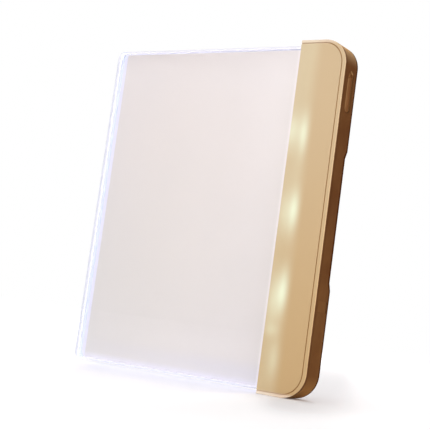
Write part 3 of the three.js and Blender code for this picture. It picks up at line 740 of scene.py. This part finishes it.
def floor_light(tree, x, y, below):
    """How brightly the floor shines by itself at a place, so that it fades into the white."""
    right, back = x - FOOT[0], y - FOOT[1]
    along = right * SHADE_WAY[0] + back * SHADE_WAY[1]
    across = right * SHADE_WAY[1] - back * SHADE_WAY[0]
    sideways = tree.most(across, across * -LEFT_SHARE)
    astray = tree.distance(sideways, tree.most(along * -FRONT_SHARE, 0.0))
    clear = tree.most(tree.ramp(astray, *SHADE_EDGE), tree.ramp(along, *SHADE_END))
    near = (LIFT_SHADE + LIFT_NEAR * clear) * (1.0 - LIFT_LOST * below)
    from_middle = tree.distance(x, y)
    far = LIFT_FAR * tree.ramp(from_middle, *LIFT_REACH)
    far = far - LIFT_SPARED * tree.ramp(from_middle, *SPARED_REACH)
    return near + far * (FAR_SHARE + (1.0 - FAR_SHARE) * clear)


def build_floor():
    mesh = bpy.data.meshes.new("floor")
    reach = FLOOR_REACH
    corners = [(-reach, -reach, 0), (reach, -reach, 0), (reach, reach, 0), (-reach, reach, 0)]
    mesh.from_pydata(corners, [], [(0, 1, 2, 3)])
    floor = bpy.data.objects.new("floor", mesh)
    bpy.context.scene.collection.objects.link(floor)
    material, tree = new_material("pale_floor")
    x, y, z = tree.place()
    # Painted light: where the panel's glow is painted on the floor below it.
    below = tree.ramp(y, *BELOW_FRONT) * tree.ramp(y, *BELOW_BACK)
    below = below * tree.ramp(x + y * BELOW_SLANT, *BELOW_LEFT) * tree.ramp(x, *BELOW_RIGHT)
    level = seen_directly(tree) * floor_light(tree, x, y, below)
    tree.surface(tree.add("ShaderNodeBsdfPrincipled", inputs={
        "Base Color": tree.blend(below, FLOOR_PALE, FLOOR_GLOW_POOL),
        "Roughness": 1.0,
        "Specular IOR Level": 0.0,
        "Emission Color": tree.blend(level, BLACK, WHITE),
        "Emission Strength": 1.0,
    }))
    mesh.materials.append(material)


def seen_directly(tree):
    """1 where the eye sees the surface, straight on or in a mirror or through glass."""
    rays = ("Is Camera Ray", "Is Glossy Ray", "Is Transmission Ray")
    camera, glossy, through = [tree.add("ShaderNodeLightPath", output=ray) for ray in rays]
    return tree.most(tree.most(camera, glossy), through)


SKY_TINT = (0.97, 0.98, 1.0, 1.0)
SKY_LEVEL = 0.56


def build_world():
    """A white surround whose light on the lamp is dimmer than it looks."""
    world = bpy.data.worlds.new("studio")
    bpy.context.scene.world = world
    tree = Tree(world)
    dim = tree.add("ShaderNodeBackground", inputs={"Color": SKY_TINT, "Strength": SKY_LEVEL})
    bright = tree.add("ShaderNodeBackground", inputs={"Color": WHITE, "Strength": 1.0})
    seen = tree.add("ShaderNodeMixShader", inputs={0: seen_directly(tree), 1: dim, 2: bright})
    tree.add("ShaderNodeOutputWorld", inputs={"Surface": seen})


# Round soft lights: name, place and width in metres, power in watts, tint
LIGHTS = [
    ("key_light", (0.1, -0.95, 1.2), 1.3, 2.7, (1.0, 0.99, 0.97)),
    ("top_light", (0.5, 0.1, 1.1), 0.6, 0.8, (1.0, 0.97, 0.93)),
    ("back_light", (-0.3, 0.8, 0.9), 0.5, 4.0, (1.0, 1.0, 1.0)),
    ("low_light", (0.7, -0.2, 0.06), 0.3, 1.6, (1.0, 0.95, 0.88)),
    ("fill_light", (0.35, -1.1, 0.3), 0.6, 2.4, (1.0, 0.98, 0.96)),
]


def build_lights():
    middle = Vector((0, 0, LAMP_HIGH.z / 2))
    for name, place, width, power, tint in LIGHTS:
        light = bpy.data.lights.new(name, "AREA")
        light.shape = "DISK"
        light.size = width
        light.energy = power
        light.color = tint
        holder = bpy.data.objects.new(name, light)
        holder.location = place
        holder.rotation_euler = (middle - Vector(place)).to_track_quat("-Z", "Y").to_euler()
        bpy.context.scene.collection.objects.link(holder)


def build_camera():
    azimuth, rise, roll = map(math.radians, (CAMERA_AZIMUTH, CAMERA_RISE, CAMERA_ROLL))
    forward = Vector((
        -math.sin(azimuth) * math.cos(rise),
        math.cos(azimuth) * math.cos(rise),
        math.sin(rise),
    ))
    level_right = forward.cross(Vector((0, 0, 1))).normalized()
    level_up = level_right.cross(forward)
    right = level_right * math.cos(roll) - level_up * math.sin(roll)
    up = level_up * math.cos(roll) + level_right * math.sin(roll)
    data = bpy.data.cameras.new("camera")
    data.sensor_width = SENSOR
    data.sensor_fit = "HORIZONTAL"
    data.lens = LENS
    data.clip_start, data.clip_end = CLIP
    camera = bpy.data.objects.new("camera", data)
    axes = Matrix((right, up, -forward)).transposed().to_4x4()
    camera.matrix_world = Matrix.Translation(CAMERA_PLACE) @ axes
    bpy.context.scene.collection.objects.link(camera)
    bpy.context.scene.camera = camera


bpy.context.scene.view_settings.view_transform = "Standard"
build_camera()
build_world()
build_lights()
build_floor()
build_panel()
build_housing()
dress_inner_pieces()
